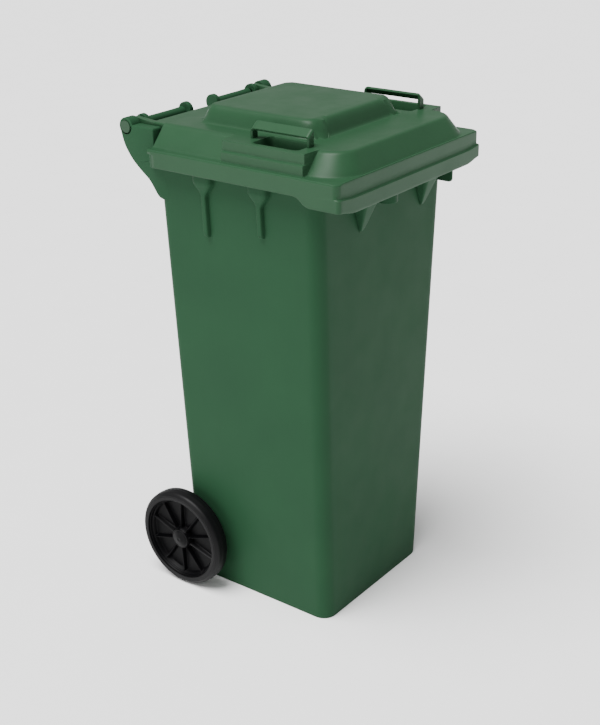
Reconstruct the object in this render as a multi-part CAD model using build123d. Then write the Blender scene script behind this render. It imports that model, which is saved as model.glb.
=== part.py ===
"""Two-wheel refuse bin with a hinged lid, in millimetres.

+Z is up and -Y is the front. The origin is on the floor, under the middle of the bin.
The tapered container stands on its front edge and on two wheels at its rear foot. The lid turns
on two pins in the bosses at the top rear, between which two handle bars run.
"""
from build123d import *
import math
import os

# Overall sizes
lid_width = 446.0
bin_depth = 500.0
rim_height = 876.0

# Container
wall = 3.5
floor_thickness = 5.0
foot_recess = 7.0
foot_rim_width = 24.0
foot_recess_corner = 20.0
foot_chamfer = 2.5
side_taper = 39.0
front_taper = 14.5
rear_taper = 9.0
lid_overhang_side = 22.0
lid_overhang_front = 60.5
front_corner_radius = 27.0
rear_corner_radius = 16.0
collar_corner_radius = 30.0
collar_gap = 5.0
collar_wall = 4.0
collar_height = 24.0
collar_behind = 12.0
lip_drop_front = 34.0

# Ribs under the collar
rib_places = (53.0, -70.0)
rib_drops = (137.0, 117.0)
rib_width = 12.0
rib_proud = 9.0
rib_head_width = 46.0
rib_head_height = 26.0
gusset_left_place = -72.0
gusset_right_inset = 101.0
gusset_foot_drop = 116.0
gusset_head_width = 46.0
gusset_reach = 34.0
gusset_shoulder_drop = 64.0
gusset_foot_half = 4.0
gusset_foot_proud = 3.0
corner_web_thickness = 6.0
corner_web_reach = 34.0
corner_web_drop = 88.0

# Chip nest under the front rim
nest_x = -36.0
nest_setback = 32.0
nest_radius = 18.0
nest_bore_radius = 15.0
nest_drop = 65.0
nest_bore_depth = 28.0
plug_thickness = 5.0

# Lid
lid_wall = 3.5
lid_corner_radius = 12.0
dome_corner_radius = 62.0
shoulder_corner_radius = 1.0
ledge_rise = 11.0
skirt_drop_front = 44.0
skirt_drop_side = 21.0
fascia_height = 26.0
fascia_proud = 4.0
dome_rise = 48.0
dome_slope_side = 33.0
dome_slope_front = 20.0
dome_ledge_side = 15.0
dome_ledge_front = 8.0
plateau_rise = 78.0
plateau_side_inset = 102.0
plateau_front_inset = 126.0
plateau_rear_inset = 120.0
plateau_slope = 14.0
plateau_foot_corner = 38.0
plateau_top_corner = 26.0
tongue_length = 30.0
tongue_gap = 3.0
tongue_drop = 20.0
shoulder_setback = 70.0
skirt_curve_setback = 64.0
skirt_curve_length = 26.0

# Lid side grips
grip_front = -173.0
grip_length = 176.0
grip_outer_inset = 9.0
grip_step = 5.0
hollow_front = -149.0
hollow_length = 96.0
hollow_side_inset = 25.0
hollow_width = 56.0
hollow_depth = 22.0
strap_width = 18.0
strap_thickness = 5.0
strap_tilt = 38.0
strap_drop = 8.0
strap_foot_width = 18.0
strap_front = -156.0
strap_length = 125.0
strap_foot = 12.0
strap_side_inset = 55.0

# Hinge, handles and pins
hinge_rise = 38.0
boss_radius = 16.0
wing_thickness = 23.0
wing_wall = 4.0
wing_curve = ((-44, -85), (-10, -85), (-3, -84), (8, -69), (19, -53), (42, -36), (60, -20))
wing_top_rise = 4.0
pocket_inset = 6.0
pocket_side_foot = 50.0
pocket_bend = (34.0, 32.0)
pocket_rear_foot = 8.0
handle_radius = 10.5
handle_drop = 4.0
bracket_thickness = 10.0
bracket_foot_drop = 62.0
bracket_bend_drop = 46.0
bracket_neck_low = 26.0
bracket_neck_high = 22.0
bracket_neck_depth = 4.0
eye_radius = 15.0
handle_gap_half = 34.0
ear_thickness = 12.0
ear_gap = 3.0
ear_radius = 13.0
pin_radius = 6.0
pin_head_radius = 11.0
pin_head_thickness = 5.0
pin_head_proud = 1.5

# Wheels and axle
wheel_radius = 100.0
tyre_width = 36.0
tyre_thickness = 16.0
tyre_shoulder = 11.0
rim_band = 5.0
rim_width = 30.0
web_thickness = 4.0
spoke_count = 10
spoke_thickness = 4.5
spoke_hub_reach = (14.0, 12.0)
spoke_band_reach = (11.0, 9.0)
hub_radius = 22.0
wheel_inset = 1.0
axle_radius = 10.0
axle_cover = 11.5
axle_chamfer = 2.0
axle_bay_depth = 38.0
axle_bay_roof = 34.0
axle_bay_pitch = 26.0
bay_rib_thickness = 5.0
bay_rib_place = 50.0
cheek_thickness = 18.0
cheek_boss_radius = 20.0
cheek_boss_proud = 3.0
washer_thickness = 2.0
washer_radius = 18.0
bush_wall = 3.0
hub_setback = 4.0
cap_height = 6.0
cap_spigot = 3.0
cap_rim_inset = 2.0
cap_spigot_wall = 2.1

# Wheel lock
lock_place = 10.0
lock_pin_radius = 3.0
lock_collar_radius = 5.0
lock_collar_thickness = 2.0
lock_pocket_radius = 5.5
lock_boss_radius = 8.5
lock_boss_top = 31.0
lock_pocket_top = 27.5
lock_groove_depth = 2.4
lock_pocket_foot = 5.0
lock_pin_top = 30.0
spring_wire_radius = 0.45
spring_turns = 5

# Rubber buffers on the rim
buffer_radius = 6.0
buffer_side_inset = 24.0
buffer_setback = 16.5

# Clearances
running_clearance = 0.05
part_gap = 0.3
lock_clearance = 0.3

# Worked out
lid_half = lid_width / 2
front_y = -bin_depth / 2
rear_y = bin_depth / 2
hinge_y = rear_y - boss_radius
hinge_z = rim_height + hinge_rise
handle_y = rear_y - handle_radius
handle_z = hinge_z - handle_drop
top_half = lid_half - lid_overhang_side
bottom_half = top_half - side_taper
top_front = front_y + lid_overhang_front
bottom_front = top_front + front_taper
shoulder_y = hinge_y - shoulder_setback
top_rear = shoulder_y + part_gap
bottom_rear = top_rear - rear_taper
collar_half = lid_half - lid_wall - collar_gap
collar_front = front_y + fascia_proud + lid_wall + collar_gap
collar_base = rim_height - collar_height
ledge_z = rim_height + ledge_rise
dome_z = rim_height + dome_rise
plateau_z = rim_height + plateau_rise
plateau_half_width = lid_half - plateau_side_inset
hollow_outer_x = lid_half - hollow_side_inset
hollow_inner_x = hollow_outer_x - hollow_width
strap_x = lid_half - strap_side_inset
buffer_place_x = lid_half - buffer_side_inset
gusset_places = (gusset_left_place, lid_half - gusset_right_inset)
wing_outer = top_half
wing_inner = wing_outer - wing_thickness
tongue_half = wing_inner - tongue_gap
ear_outer = wing_inner - ear_gap
ear_inner = ear_outer - ear_thickness
outer_bracket_x = ear_inner - ear_gap
inner_bracket_x = handle_gap_half
axle_y = bottom_rear - axle_cover
axle_z = wheel_radius
cheek_x = bottom_half + side_taper * axle_z / rim_height
cheek_face_x = cheek_x + cheek_boss_proud
washer_face_x = cheek_face_x + washer_thickness
hub_inner_x = washer_face_x + part_gap
wheel_outer_x = lid_half - wheel_inset
wheel_mid_x = wheel_outer_x - tyre_width / 2
hub_outer_x = wheel_outer_x - hub_setback
axle_end_x = hub_outer_x - hub_setback
rim_radius = wheel_radius - tyre_thickness
bush_radius = axle_radius + bush_wall
lock_x = wheel_mid_x - lock_place
nest_y = front_y + nest_setback
nest_foot = rim_height - nest_drop
hollow_floor = dome_z - hollow_depth
strap_z = plateau_z - strap_drop


def at_height(bottom, top, z):
    """Value that runs straight from bottom at the floor to top at the rim."""
    return bottom + (top - bottom) * z / rim_height


def plan(half_width, front, rear, front_radius, rear_radius, z):
    """Rectangle lying flat at height z, with its own corner radius at the front and at the rear."""
    outline = Pos(0, (front + rear) / 2) * Rectangle(2 * half_width, rear - front)
    outline = fillet(outline.vertices().group_by(Axis.Y)[0], front_radius)
    outline = fillet(outline.vertices().group_by(Axis.Y)[-1], rear_radius)
    return Pos(0, 0, z) * outline


def body_plan(z, inset):
    """Plan of the container at height z, moved inwards by inset."""
    half_width = at_height(bottom_half, top_half, z) - inset
    front = at_height(bottom_front, top_front, z) + inset
    rear = at_height(bottom_rear, top_rear, z) - inset
    return plan(half_width, front, rear, front_corner_radius - inset, rear_corner_radius - inset, z)


def box(x_range, y_range, z_range):
    """Box between three pairs of limits."""
    size = [high - low for low, high in (x_range, y_range, z_range)]
    middle = [(high + low) / 2 for low, high in (x_range, y_range, z_range)]
    return Pos(*middle) * Box(*size)


def side_prism(points, x_from, x_to):
    """Outline in Y and Z, carried along X."""
    outline = Plane.YZ.offset(x_from) * make_face(Polyline(*points, close=True))
    return extrude(outline, amount=x_to - x_from)


def front_prism(points, y_from, y_to):
    """Outline in X and Z, carried along Y."""
    outline = Plane.XZ.offset(-y_from) * make_face(Polyline(*points, close=True))
    return extrude(outline, amount=y_from - y_to)


def cross_rod(radius, x_from, x_to, y, z):
    """Round rod along X."""
    return Pos((x_from + x_to) / 2, y, z) * Rot(0, 90, 0) * Cylinder(radius, x_to - x_from)


def both(right_piece):
    """A right-hand piece with its mirror image."""
    return right_piece + mirror(right_piece, about=Plane.YZ)


def turned(points):
    """Outline in X and radius, turned about the axle."""
    outline = make_face(Polyline(*points, close=True))
    return Pos(0, axle_y, axle_z) * revolve(outline, Axis.X)


# Container

def shell_outside():
    """Tapered block of the container, with a bevel round its foot."""
    bevel = loft([body_plan(0, foot_chamfer), body_plan(foot_chamfer, 0)])
    return bevel + loft([body_plan(foot_chamfer, 0), body_plan(rim_height, 0)])


def bay_outline(growth):
    """Side view of the axle bay, grown by the wall that covers it."""
    bay_front = axle_y - axle_bay_depth - growth
    bay_rear = rear_y
    roof = axle_z + axle_bay_roof + growth
    return [
        (bay_front, -1),
        (bay_front, roof),
        (bay_rear, roof + axle_bay_pitch),
        (bay_rear, -1),
    ]


def cavity():
    """Inside of the container, with the step over the axle bay left out."""
    inside = loft([body_plan(foot_recess + floor_thickness, wall), body_plan(rim_height, wall)])
    return inside - side_prism(bay_outline(wall), -lid_half, lid_half)


def axle_bay():
    """Open bays under the rear foot, between the cheeks and the ribs that carry the axle."""
    inner_edge = bay_rib_place - bay_rib_thickness / 2
    outer_edge = bay_rib_place + bay_rib_thickness / 2
    cheek_edge = cheek_x - cheek_thickness
    middle = side_prism(bay_outline(0), -inner_edge, inner_edge)
    return middle + both(side_prism(bay_outline(0), outer_edge, cheek_edge))


def foot_hollow():
    """Shallow recess under the floor, which leaves a rim to stand on."""
    rear = axle_y - axle_bay_depth - foot_rim_width
    front = bottom_front + foot_rim_width
    half_width = bottom_half - foot_rim_width
    outline = plan(half_width, front, rear, foot_recess_corner, foot_recess_corner, -1)
    return extrude(outline, amount=foot_recess + 1)


def collar():
    """Rim collar, open from below, with a deep lip at the front."""
    rear = top_rear + collar_behind
    radius = collar_corner_radius
    outer = plan(collar_half, collar_front, rear, radius, rear_corner_radius, collar_base)
    outer = extrude(outer, collar_height)
    inner = plan(
        collar_half - collar_wall,
        collar_front + collar_wall,
        rear - collar_wall,
        radius - collar_wall,
        rear_corner_radius - collar_wall,
        collar_base,
    )
    ring = outer - extrude(inner, collar_height - collar_wall)
    lip_half = collar_half - collar_corner_radius
    lip_y = (collar_front, collar_front + collar_wall)
    lip_z = (rim_height - lip_drop_front, collar_base + 1)
    return ring + box((-lip_half, lip_half), lip_y, lip_z)


def side_rib(place, drop):
    """Rib with a flared head, under the collar on the right side."""
    head_foot = collar_base - rib_head_height
    foot = rim_height - drop
    half = rib_width / 2
    stem = front_prism(
        [
            (at_height(bottom_half, top_half, foot) - wall, foot),
            (at_height(bottom_half, top_half, foot) + rib_proud, foot),
            (at_height(bottom_half, top_half, collar_base) + rib_proud, collar_base + 2),
            (at_height(bottom_half, top_half, collar_base) - wall, collar_base + 2),
        ],
        place - half,
        place + half,
    )
    head = side_prism(
        [
            (place - rib_head_width / 2, collar_base + 2),
            (place - half, head_foot),
            (place + half, head_foot),
            (place + rib_head_width / 2, collar_base + 2),
        ],
        top_half - wall,
        collar_half - 1,
    )
    return stem + head


def front_gusset(place):
    """Tapered gusset between the front wall and the rim."""
    foot = rim_height - gusset_foot_drop
    top = rim_height - collar_wall
    wall_y = at_height(bottom_front, top_front, foot) + wall
    half = gusset_head_width / 2
    mid = rim_height - gusset_shoulder_drop
    front_view = [
        (place - half, top),
        (place - half, mid),
        (place - gusset_foot_half, foot),
        (place + gusset_foot_half, foot),
        (place + half, mid),
        (place + half, top),
    ]
    side_view = [
        (wall_y, foot),
        (wall_y - wall - gusset_foot_proud, foot),
        (top_front - gusset_reach, rim_height - lip_drop_front),
        (top_front - gusset_reach, top),
        (wall_y, top),
    ]
    block = front_prism(front_view, wall_y, top_front - gusset_reach)
    return block & side_prism(side_view, place - half, place + half)


def corner_web():
    """Square web under the rim at the right front corner."""
    top = rim_height - collar_wall
    foot = rim_height - corner_web_drop
    y_range = (top_front - corner_web_reach / 2, top_front + front_corner_radius)
    return box((top_half - corner_web_thickness, top_half), y_range, (foot, top))


def chip_nest():
    """Round boss under the front rim, for the identity chip."""
    height = nest_drop - collar_wall / 2
    return Pos(nest_x, nest_y, nest_foot + height / 2) * Cylinder(nest_radius, height)


def nest_bore():
    """Blind bore of the chip nest, open below."""
    return Pos(nest_x, nest_y, nest_foot) * Cylinder(nest_bore_radius, nest_bore_depth * 2)


def wing_outline():
    """Side view of a rear wing, which carries the hinge pin."""
    curve = [(shoulder_y + y, rim_height + z) for y, z in wing_curve]
    return curve + [
        (hinge_y + boss_radius / 3, rim_height + 2),
        (hinge_y + boss_radius - 1, hinge_z),
        (hinge_y, hinge_z + wing_top_rise),
        (shoulder_y + wing_wall, hinge_z + wing_top_rise),
        (shoulder_y + wing_wall, rim_height - 1),
        (curve[0][0], rim_height - 1),
    ]


def wing():
    """Right rear wing with its pin boss."""
    plate = side_prism(wing_outline(), wing_inner, wing_outer)
    pocket_front = top_rear + pocket_inset
    pocket_rear = hinge_y - boss_radius - wing_wall
    pocket_top = hinge_z - wing_wall / 2
    pocket_side = [
        (pocket_front, rim_height - pocket_side_foot),
        (pocket_front, pocket_top),
        (pocket_rear, pocket_top),
        (pocket_rear, rim_height - pocket_rear_foot),
        (top_rear + pocket_bend[0], rim_height - pocket_bend[1]),
    ]
    pocket = side_prism(pocket_side, wing_inner - 1, wing_outer - wing_wall)
    boss = cross_rod(boss_radius, wing_inner, wing_outer, hinge_y, hinge_z)
    return (plate - pocket) + boss


def bracket(x_from):
    """Arm from the rear wall to the hinge line."""
    arm_rear = hinge_y - eye_radius
    outline = [
        (top_rear - wall, rim_height - bracket_foot_drop),
        (top_rear + collar_behind, rim_height - bracket_bend_drop),
        (arm_rear + 1, hinge_z - bracket_neck_low),
        (hinge_y, hinge_z - eye_radius),
        (hinge_y, hinge_z),
        (arm_rear, hinge_z - 2),
        (arm_rear + 1 - bracket_neck_depth, hinge_z - bracket_neck_high),
        (top_rear + collar_behind, rim_height - 1),
        (top_rear - wall, rim_height - 1),
    ]
    arm = side_prism(outline, x_from, x_from + bracket_thickness)
    return arm + cross_rod(eye_radius, x_from, x_from + bracket_thickness, hinge_y, hinge_z)


def handle():
    """Right handle bar between its two brackets."""
    bar_from = inner_bracket_x + bracket_thickness / 2
    bar_to = outer_bracket_x - bracket_thickness / 2
    bar = cross_rod(handle_radius, bar_from, bar_to, handle_y, handle_z)
    return bar + bracket(inner_bracket_x) + bracket(outer_bracket_x - bracket_thickness)


def container():
    """The whole moulded container."""
    body = shell_outside() + collar() + corner_web() + chip_nest()
    for place, drop in zip(rib_places, rib_drops):
        body += both(side_rib(place, drop))
    for place in gusset_places:
        body += front_gusset(place)
    body += both(wing())
    body += both(cross_rod(cheek_boss_radius, cheek_x - cheek_thickness, cheek_face_x, axle_y, axle_z))
    body -= cavity()
    body -= axle_bay()
    body -= foot_hollow()
    body -= nest_bore()
    body += both(handle())
    body -= cavity()
    body -= cross_rod(axle_radius, -lid_half, lid_half, axle_y, axle_z)
    pin_from = outer_bracket_x - bracket_thickness - 1
    body -= both(cross_rod(pin_radius, pin_from, wing_outer + 1, hinge_y, hinge_z))
    head_floor = wing_outer + pin_head_proud - pin_head_thickness
    body -= both(cross_rod(pin_head_radius, head_floor, wing_outer + 1, hinge_y, hinge_z))
    return body


# Lid

def dome_plans(inset):
    """Foot and top of the dome, moved inwards by inset; it runs on behind the shoulder."""
    foot_half = lid_half - dome_ledge_side - inset
    foot_front = front_y + dome_ledge_front + inset
    radius = dome_corner_radius - inset
    foot = plan(foot_half, foot_front, hinge_y, radius, shoulder_corner_radius, ledge_z - inset)
    front = foot_front + dome_slope_front
    half = foot_half - dome_slope_side
    return [foot, plan(half, front, hinge_y, radius, shoulder_corner_radius, dome_z - inset)]


def behind(y):
    """Everything of the lid behind y."""
    return box((-lid_width, lid_width), (y, rear_y + lid_width), (0, plateau_z + 1))


def plateau_plans(inset):
    """Foot and top of the raised middle of the lid, moved inwards by inset."""
    half = plateau_half_width - inset
    front = front_y + plateau_front_inset + inset
    rear = hinge_y - plateau_rear_inset - inset
    foot_front, foot_rear = front - plateau_slope, rear + plateau_slope
    foot_z = dome_z - inset - 1
    foot_radius, radius = plateau_foot_corner - inset, plateau_top_corner - inset
    foot = plan(half + plateau_slope, foot_front, foot_rear, foot_radius, foot_radius, foot_z)
    return [foot, plan(half, front, rear, radius, radius, plateau_z - inset)]


def lid_outside():
    """Solid outer form of the lid without its grips."""
    skirt_base = rim_height - skirt_drop_front
    skirt_front = front_y + fascia_proud
    radius = lid_corner_radius
    skirt = plan(lid_half, skirt_front, hinge_y, radius, shoulder_corner_radius, skirt_base)
    block = extrude(skirt, ledge_z - skirt_base)
    fascia_rear = skirt_front + 2 * radius
    fascia = plan(lid_half, front_y, fascia_rear, radius, shoulder_corner_radius, skirt_base)
    block += extrude(fascia, fascia_height)
    block += loft(dome_plans(0))
    block += loft(plateau_plans(0))
    block -= behind(shoulder_y)
    tongue_y = (shoulder_y - 1, shoulder_y + tongue_length)
    return block + box((-tongue_half, tongue_half), tongue_y, (dome_z - tongue_drop, dome_z))


def lid_inside():
    """Hollow under the lid."""
    skirt_base = rim_height - skirt_drop_front
    inner_front = front_y + fascia_proud + lid_wall
    inner_half = lid_half - lid_wall
    radius = lid_corner_radius - lid_wall
    skirt = plan(inner_half, inner_front, hinge_y, radius, shoulder_corner_radius, skirt_base - 1)
    hollow = extrude(skirt, ledge_z - lid_wall - skirt_base + 1)
    hollow += loft(dome_plans(lid_wall))
    hollow += loft(plateau_plans(lid_wall))
    hollow -= behind(shoulder_y - lid_wall)
    inner_tongue = tongue_half - lid_wall
    tongue_y = (shoulder_y - lid_wall - 1, shoulder_y + tongue_length - lid_wall)
    return hollow + box((-inner_tongue, inner_tongue), tongue_y, (dome_z - tongue_drop - 1, dome_z - lid_wall))


def side_skirt_cut():
    """What is cut away below the side skirts, which are shallower than the front one."""
    low = rim_height - skirt_drop_front - 1
    high = rim_height - skirt_drop_side
    curve_start = front_y + skirt_curve_setback
    curve_end = curve_start + skirt_curve_length
    outline = [(curve_start, low), (curve_end, high), (rear_y, high), (rear_y, low)]
    return side_prism(outline, -lid_half - 1, lid_half + 1)


def rear_cut():
    """Room for the rear wall, the collar and the wings behind the side skirts."""
    y_from = shoulder_y - collar_gap - collar_wall
    low = rim_height - skirt_drop_front - 2
    return box((-lid_half - 1, lid_half + 1), (y_from, rear_y), (low, ledge_z - lid_wall))


def grip_block():
    """Thickened side of the right grip, stepped on its outside."""
    y_range = (grip_front, grip_front + grip_length)
    step_z = (ledge_z + dome_z) / 2
    inner_x = hollow_outer_x - lid_wall * 2
    outer_x = lid_half - grip_outer_inset
    lower = box((inner_x, outer_x), y_range, (ledge_z - lid_wall, step_z))
    upper = box((inner_x, outer_x - grip_step), y_range, (step_z - 1, dome_z))
    return lower + upper


def grip_hollow(growth):
    """Finger hollow of the right grip, grown by growth."""
    x_range = (hollow_inner_x - growth, hollow_outer_x + growth)
    y_range = (hollow_front - growth, hollow_front + hollow_length + growth)
    return box(x_range, y_range, (hollow_floor - growth, plateau_z + growth))


def strap():
    """Right strap over the finger hollow: a flat bar tilted outwards, on two feet."""
    across = Vector(math.cos(math.radians(strap_tilt)), -math.sin(math.radians(strap_tilt)))
    upward = Vector(-across.Y, across.X)
    half_width, half_thickness = strap_width / 2, strap_thickness / 2
    corners = []
    for side, level in ((-1, -1), (1, -1), (1, 1), (-1, 1)):
        corner = across * side * half_width + upward * level * half_thickness
        corners.append((strap_x + corner.X, strap_z + corner.Y))
    strap_rear = strap_front + strap_length
    half_foot = strap_foot_width / 2
    foot_base = dome_z - lid_wall
    base = [(strap_x - half_foot, foot_base), (strap_x + half_foot, foot_base)]
    foot = base + corners[1:] + corners[:1]
    bar = front_prism(corners, strap_front, strap_rear)
    front_foot = front_prism(foot, strap_front, strap_front + strap_foot / 2)
    return bar + front_foot + front_prism(foot, strap_rear - strap_foot, strap_rear)


def lid_ear():
    """Right hinge ear of the lid, with its bore."""
    outline = [
        (shoulder_y + tongue_length - lid_wall, dome_z),
        (hinge_y, hinge_z + ear_radius - 3),
        (hinge_y, hinge_z - ear_radius),
        (shoulder_y + tongue_length - lid_wall, dome_z - tongue_drop),
    ]
    arm = side_prism(outline, ear_inner, ear_outer)
    return arm + cross_rod(ear_radius, ear_inner, ear_outer, hinge_y, hinge_z)


def lid():
    """The whole moulded lid."""
    body = lid_outside() + both(grip_block())
    body -= both(grip_hollow(0))
    hollow = lid_inside() - both(grip_hollow(lid_wall))
    body -= hollow
    body -= side_skirt_cut()
    body -= rear_cut()
    body += both(strap()) + both(lid_ear())
    bore = pin_radius + running_clearance
    body -= both(cross_rod(bore, ear_inner - 1, ear_outer + 1, hinge_y, hinge_z))
    return body


# Small pieces of the container

def lid_pin():
    """Right hinge pin with its head."""
    pin_end = outer_bracket_x - bracket_thickness
    head_from = wing_outer + pin_head_proud - pin_head_thickness
    shank = cross_rod(pin_radius, pin_end, head_from, hinge_y, hinge_z)
    head = cross_rod(pin_head_radius, head_from, wing_outer + pin_head_proud, hinge_y, hinge_z)
    return shank + head


def nest_plug():
    """Plug that closes the chip nest, with a slot to turn it by."""
    plug = Pos(nest_x, nest_y, nest_foot + plug_thickness / 2) * Cylinder(nest_bore_radius, plug_thickness)
    slot = Pos(nest_x, nest_y, nest_foot) * Box(2 * nest_bore_radius - 6, 3, 3)
    return plug - slot


def rim_buffers():
    """Two rubber buffers on the front rim, which the lid rests on."""
    height = ledge_rise - lid_wall - part_gap
    y = collar_front + buffer_setback
    buffer = Pos(buffer_place_x, y, rim_height + height / 2) * Cylinder(buffer_radius, height)
    return both(buffer)


def axle():
    """Steel axle with chamfered ends and a groove for each wheel lock."""
    half = [
        (0, 0),
        (0, axle_radius),
        (lock_x - lock_pin_radius - lock_clearance, axle_radius),
        (lock_x - lock_pin_radius - lock_clearance, axle_radius - lock_groove_depth),
        (lock_x + lock_pin_radius + lock_clearance, axle_radius - lock_groove_depth),
        (lock_x + lock_pin_radius + lock_clearance, axle_radius),
        (axle_end_x - axle_chamfer, axle_radius),
        (axle_end_x, axle_radius - axle_chamfer),
        (axle_end_x, 0),
    ]
    return both(turned(half))


# Wheel pieces, right side

def washer():
    """Washer between the cheek boss and the hub."""
    bore = axle_radius + running_clearance
    return turned([
        (cheek_face_x, bore),
        (cheek_face_x, washer_radius),
        (washer_face_x, washer_radius),
        (washer_face_x, bore),
    ])


def tyre():
    """Solid rubber tyre with a rounded crown and a groove beside the rim."""
    middle_radius = wheel_radius - tyre_thickness / 2
    section = Pos(wheel_mid_x, middle_radius) * Rectangle(tyre_width, tyre_thickness)
    crown = section.vertices().group_by(Axis.Y)[-1]
    section = fillet(crown, tyre_shoulder)
    return Pos(0, axle_y, axle_z) * revolve(section, Axis.X)


def spoke(angle):
    """One radial rib of the rim, deeper at the hub than at the band."""
    mid = wheel_mid_x
    outline = [
        (mid - spoke_band_reach[0], rim_radius - rim_band + 1),
        (mid - spoke_hub_reach[0], hub_radius - 2),
        (mid + spoke_hub_reach[1], hub_radius - 2),
        (mid + spoke_band_reach[1], rim_radius - rim_band + 1),
    ]
    plate = extrude(make_face(Polyline(*outline, close=True)), spoke_thickness / 2, both=True)
    return Pos(0, axle_y, axle_z) * Rot(angle, 0, 0) * plate


def rim():
    """Moulded rim: band, web, spokes, hub and the boss of the wheel lock."""
    band_in = rim_radius - rim_band
    body = turned([
        (wheel_mid_x - rim_width / 2, band_in),
        (wheel_mid_x - rim_width / 2, rim_radius),
        (wheel_mid_x + rim_width / 2, rim_radius),
        (wheel_mid_x + rim_width / 2, band_in),
    ])
    body += turned([
        (wheel_mid_x - web_thickness / 2, bush_radius),
        (wheel_mid_x - web_thickness / 2, band_in + 1),
        (wheel_mid_x + web_thickness / 2, band_in + 1),
        (wheel_mid_x + web_thickness / 2, bush_radius),
    ])
    body += cross_rod(hub_radius, hub_inner_x, hub_outer_x, axle_y, axle_z)
    pitch = 360 / spoke_count
    for index in range(spoke_count):
        body += spoke(pitch * (index + 0.5))
    body += Pos(lock_x, axle_y, axle_z + lock_boss_top / 2) * Cylinder(lock_boss_radius, lock_boss_top)
    body -= cross_rod(bush_radius, hub_inner_x - 1, hub_outer_x + 1, axle_y, axle_z)
    pocket_height = lock_pocket_top - lock_pocket_foot
    pocket = Cylinder(lock_pocket_radius, pocket_height)
    body -= Pos(lock_x, axle_y, axle_z + lock_pocket_foot + pocket_height / 2) * pocket
    body -= Pos(lock_x, axle_y, axle_z + 20) * Cylinder(lock_pin_radius + lock_clearance, 40)
    return body


def bush():
    """Nylon bush pressed into the hub, with the hole of the wheel lock."""
    ring = turned([
        (hub_inner_x, axle_radius + running_clearance),
        (hub_inner_x, bush_radius),
        (axle_end_x, bush_radius),
        (axle_end_x, axle_radius + running_clearance),
    ])
    hole = Cylinder(lock_pin_radius + lock_clearance, 20)
    return ring - Pos(lock_x, axle_y, axle_z + 10 + lock_pin_radius) * hole


def lock_collar_base():
    """Distance from the axle's centre to the lock pin's collar."""
    return bush_radius + lock_clearance


def lock_pin():
    """Sprung pin whose tip lies in the axle's groove."""
    tip = axle_radius - lock_groove_depth + lock_clearance
    length = lock_pin_top - tip
    pin = Pos(lock_x, axle_y, axle_z + tip + length / 2) * Cylinder(lock_pin_radius, length)
    collar_mid = axle_z + lock_collar_base() + lock_collar_thickness / 2
    return pin + Pos(lock_x, axle_y, collar_mid) * Cylinder(lock_collar_radius, lock_collar_thickness)


def lock_spring():
    """Coil spring between the lock pin's collar and the top of its pocket."""
    coil_radius = lock_pin_radius + spring_wire_radius + 2 * lock_clearance
    low = lock_collar_base() + lock_collar_thickness + spring_wire_radius + 0.1
    high = lock_pocket_top - spring_wire_radius - 0.1
    path = Helix((high - low) / spring_turns, high - low, coil_radius)
    wire = Plane(path @ 0, z_dir=path % 0) * Circle(spring_wire_radius)
    return Pos(lock_x, axle_y, axle_z + low) * sweep(wire, path, is_frenet=True)


def hub_cap():
    """Domed cap over the hub, with a spigot in the hub's bore."""
    rim_of_cap = hub_radius - cap_rim_inset
    top = hub_outer_x + cap_height
    dome = turned([
        (hub_outer_x, 0),
        (hub_outer_x, rim_of_cap),
        (hub_outer_x + cap_height / 3, rim_of_cap),
        (top - cap_height / 6, rim_of_cap * 0.55),
        (top, rim_of_cap * 0.25),
        (top, 0),
    ])
    spigot = turned([
        (hub_outer_x - cap_spigot, bush_radius - 0.1 - cap_spigot_wall),
        (hub_outer_x - cap_spigot, bush_radius - 0.1),
        (hub_outer_x + 1, bush_radius - 0.1),
        (hub_outer_x + 1, bush_radius - 0.1 - cap_spigot_wall),
    ])
    return dome + spigot


def write(name, piece):
    """Write one node's STEP file."""
    export_step(piece, os.path.join("parts", name + ".step"))


def main():
    os.makedirs("parts", exist_ok=True)
    write("container", container())
    write("lid", lid())
    write("chip_nest_plug", nest_plug())
    write("rim_buffers", rim_buffers())
    write("axle", axle())
    handed = {
        "lid_pin": lid_pin,
        "spacer_washer": washer,
        "tyre": tyre,
        "wheel_rim": rim,
        "wheel_bush": bush,
        "lock_pin": lock_pin,
        "lock_spring": lock_spring,
        "hub_cap": hub_cap,
    }
    for name, make in handed.items():
        piece = make()
        write("right_" + name, piece)
        write("left_" + name, mirror(piece, about=Plane.YZ))


main()
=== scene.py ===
"""Looks of the two-wheel refuse bin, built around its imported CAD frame.

Lengths are in millimetres in the shape functions and become metres when a mesh is made.
+Z is up, -Y is the front, and the origin is on the floor under the middle of the bin.
"""
import math

import bmesh
import bpy
import numpy as np
from mathutils import Matrix, Vector


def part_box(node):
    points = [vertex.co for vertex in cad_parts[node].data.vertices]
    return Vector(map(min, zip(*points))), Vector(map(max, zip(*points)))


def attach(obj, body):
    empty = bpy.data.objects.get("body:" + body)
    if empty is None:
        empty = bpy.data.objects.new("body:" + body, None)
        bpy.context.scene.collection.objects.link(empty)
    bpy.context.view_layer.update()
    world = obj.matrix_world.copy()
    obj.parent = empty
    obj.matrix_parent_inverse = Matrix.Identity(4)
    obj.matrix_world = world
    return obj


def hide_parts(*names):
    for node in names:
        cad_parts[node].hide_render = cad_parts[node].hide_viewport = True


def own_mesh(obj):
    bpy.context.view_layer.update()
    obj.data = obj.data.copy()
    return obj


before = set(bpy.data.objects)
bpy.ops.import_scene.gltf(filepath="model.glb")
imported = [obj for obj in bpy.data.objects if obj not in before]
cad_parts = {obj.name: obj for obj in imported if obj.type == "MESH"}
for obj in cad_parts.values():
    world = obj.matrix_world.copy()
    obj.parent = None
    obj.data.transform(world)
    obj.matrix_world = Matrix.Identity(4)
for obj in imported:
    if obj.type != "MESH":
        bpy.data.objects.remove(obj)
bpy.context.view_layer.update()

MM = 0.001
SHARP_ANGLE = 38.0


def limits(node):
    """Lowest and highest corner of a CAD node, in millimetres."""
    low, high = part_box(node)
    return np.array(low) / MM, np.array(high) / MM


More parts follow.
